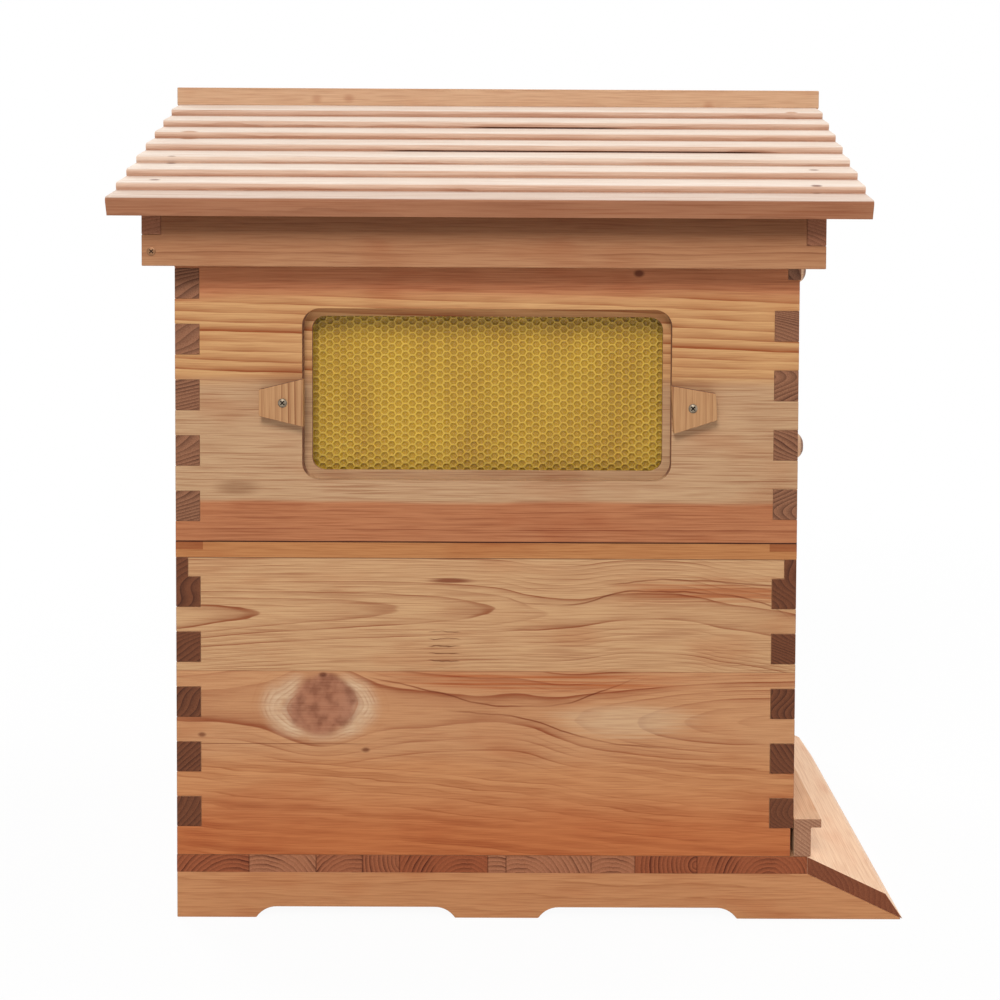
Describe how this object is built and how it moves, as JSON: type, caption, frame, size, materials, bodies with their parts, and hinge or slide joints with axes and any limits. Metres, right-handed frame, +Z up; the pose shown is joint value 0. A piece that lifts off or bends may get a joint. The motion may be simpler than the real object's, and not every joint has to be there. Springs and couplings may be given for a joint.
{
  "type": "beehive with split-comb honey frames",
  "caption": "Wooden stacking beehive: gabled slat roof, honey super with viewing window and split-comb honey frames, queen excluder, brood box and base with a landing board.",
  "frame": {"origin": "on the ground, under the middle of the whole hive's box", "axes": "+X towards the entrance and the harvest end, -Y towards the side with the window, +Z up"},
  "size_m": [0.6426, 0.5106, 0.7022],
  "materials": {
    "hive_wood": "oiled softwood",
    "roof_wood": "planed softwood",
    "frame_wood": "planed pine",
    "grid_steel": "zinc",
    "screw_steel": "dark",
    "clear_pane": "clear",
    "comb_plastic": "amber, translucent",
    "cap_plastic": "off-white"
  },
  "bodies": {
    "base": {"base_rail_near": "hive_wood", "base_rail_far": "hive_wood", "base_rail_back": "hive_wood", "base_rail_front": "hive_wood", "floor_boards": "hive_wood", "landing_board": "hive_wood"},
    "entrance_bar": {"entrance_bar": "hive_wood"},
    "brood_box": {"brood_wall_near": "hive_wood", "brood_wall_far": "hive_wood", "brood_wall_back": "hive_wood", "brood_wall_front": "hive_wood", "brood_frame_1": "frame_wood", "brood_frame_2": "frame_wood", "brood_frame_3": "frame_wood", "brood_frame_4": "frame_wood", "brood_frame_5": "frame_wood", "brood_frame_6": "frame_wood", "brood_frame_7": "frame_wood", "brood_frame_8": "frame_wood", "brood_frame_9": "frame_wood", "brood_frame_10": "frame_wood"},
    "queen_excluder": {"excluder_rim": "hive_wood", "excluder_grid": "grid_steel"},
    "honey_super": {"super_wall_near": "hive_wood", "super_wall_far": "hive_wood", "super_wall_back": "hive_wood", "super_wall_front": "hive_wood", "window_pane": "clear_pane", "window_latch_screws": "screw_steel", "flow_frame_1": "comb_plastic", "flow_frame_2": "comb_plastic", "flow_frame_3": "comb_plastic", "flow_frame_4": "comb_plastic", "flow_frame_5": "comb_plastic", "flow_frame_6": "comb_plastic", "flow_frame_7": "comb_plastic", "honey_outlet_caps": "cap_plastic"},
    "window_latch_left": {"window_latch_left": "hive_wood"},
    "window_latch_right": {"window_latch_right": "hive_wood"},
    "harvest_shutter": {"harvest_shutter": "hive_wood", "harvest_knob": "hive_wood"},
    "key_cover": {"key_cover": "hive_wood", "key_cover_knob": "hive_wood"},
    "inner_cover": {"inner_cover": "roof_wood"},
    "roof": {"roof_gable_back": "roof_wood", "roof_gable_front": "roof_wood", "roof_rail_near": "roof_wood", "roof_rail_far": "roof_wood", "roof_slats_near": "roof_wood", "roof_slats_far": "roof_wood", "ridge_board": "roof_wood", "roof_cleats": "roof_wood"},
    "flow_comb_1": {"flow_frame_1_moving_comb": "comb_plastic"},
    "flow_comb_2": {"flow_frame_2_moving_comb": "comb_plastic"},
    "flow_comb_3": {"flow_frame_3_moving_comb": "comb_plastic"},
    "flow_comb_4": {"flow_frame_4_moving_comb": "comb_plastic"},
    "flow_comb_5": {"flow_frame_5_moving_comb": "comb_plastic"},
    "flow_comb_6": {"flow_frame_6_moving_comb": "comb_plastic"},
    "flow_comb_7": {"flow_frame_7_moving_comb": "comb_plastic"}
  },
  "joints": [
    {"name": "brood_box_lift", "type": "slide", "parent": "base", "child": "brood_box", "axis": [0, 0, 1], "range_m": [0, 0.3]},
    {"name": "entrance_bar_pull", "type": "slide", "parent": "base", "child": "entrance_bar", "axis": [1, 0, 0], "range_m": [0, 0.06]},
    {"name": "queen_excluder_lift", "type": "slide", "parent": "brood_box", "child": "queen_excluder", "axis": [0, 0, 1], "range_m": [0, 0.1]},
    {"name": "honey_super_lift", "type": "slide", "parent": "queen_excluder", "child": "honey_super", "axis": [0, 0, 1], "range_m": [0, 0.3]},
    {"name": "window_latch_left_turn", "type": "hinge", "parent": "honey_super", "child": "window_latch_left", "pos_m": [-0.18725, -0.2065, 0.4253], "axis": [0, -1, 0], "continuous": true},
    {"name": "window_latch_right_turn", "type": "hinge", "parent": "honey_super", "child": "window_latch_right", "pos_m": [0.14375, -0.2065, 0.4223], "axis": [0, -1, 0], "continuous": true},
    {"name": "harvest_shutter_pull", "type": "slide", "parent": "honey_super", "child": "harvest_shutter", "axis": [1, 0, 0], "range_m": [0, 0.12]},
    {"name": "key_cover_pull", "type": "slide", "parent": "honey_super", "child": "key_cover", "axis": [1, 0, 0], "range_m": [0, 0.1]},
    {"name": "inner_cover_lift", "type": "slide", "parent": "honey_super", "child": "inner_cover", "axis": [0, 0, 1], "range_m": [0, 0.1]},
    {"name": "roof_lift", "type": "slide", "parent": "inner_cover", "child": "roof", "axis": [0, 0, 1], "range_m": [0, 0.3]},
    {"name": "flow_comb_1_split", "type": "slide", "parent": "honey_super", "child": "flow_comb_1", "axis": [0, 0, 1], "range_m": [0, 0.0031]},
    {"name": "flow_comb_2_split", "type": "slide", "parent": "honey_super", "child": "flow_comb_2", "axis": [0, 0, 1], "range_m": [0, 0.0031]},
    {"name": "flow_comb_3_split", "type": "slide", "parent": "honey_super", "child": "flow_comb_3", "axis": [0, 0, 1], "range_m": [0, 0.0031]},
    {"name": "flow_comb_4_split", "type": "slide", "parent": "honey_super", "child": "flow_comb_4", "axis": [0, 0, 1], "range_m": [0, 0.0031]},
    {"name": "flow_comb_5_split", "type": "slide", "parent": "honey_super", "child": "flow_comb_5", "axis": [0, 0, 1], "range_m": [0, 0.0031]},
    {"name": "flow_comb_6_split", "type": "slide", "parent": "honey_super", "child": "flow_comb_6", "axis": [0, 0, 1], "range_m": [0, 0.0031]},
    {"name": "flow_comb_7_split", "type": "slide", "parent": "honey_super", "child": "flow_comb_7", "axis": [0, 0, 1], "range_m": [0, 0.0031]}
  ]
}
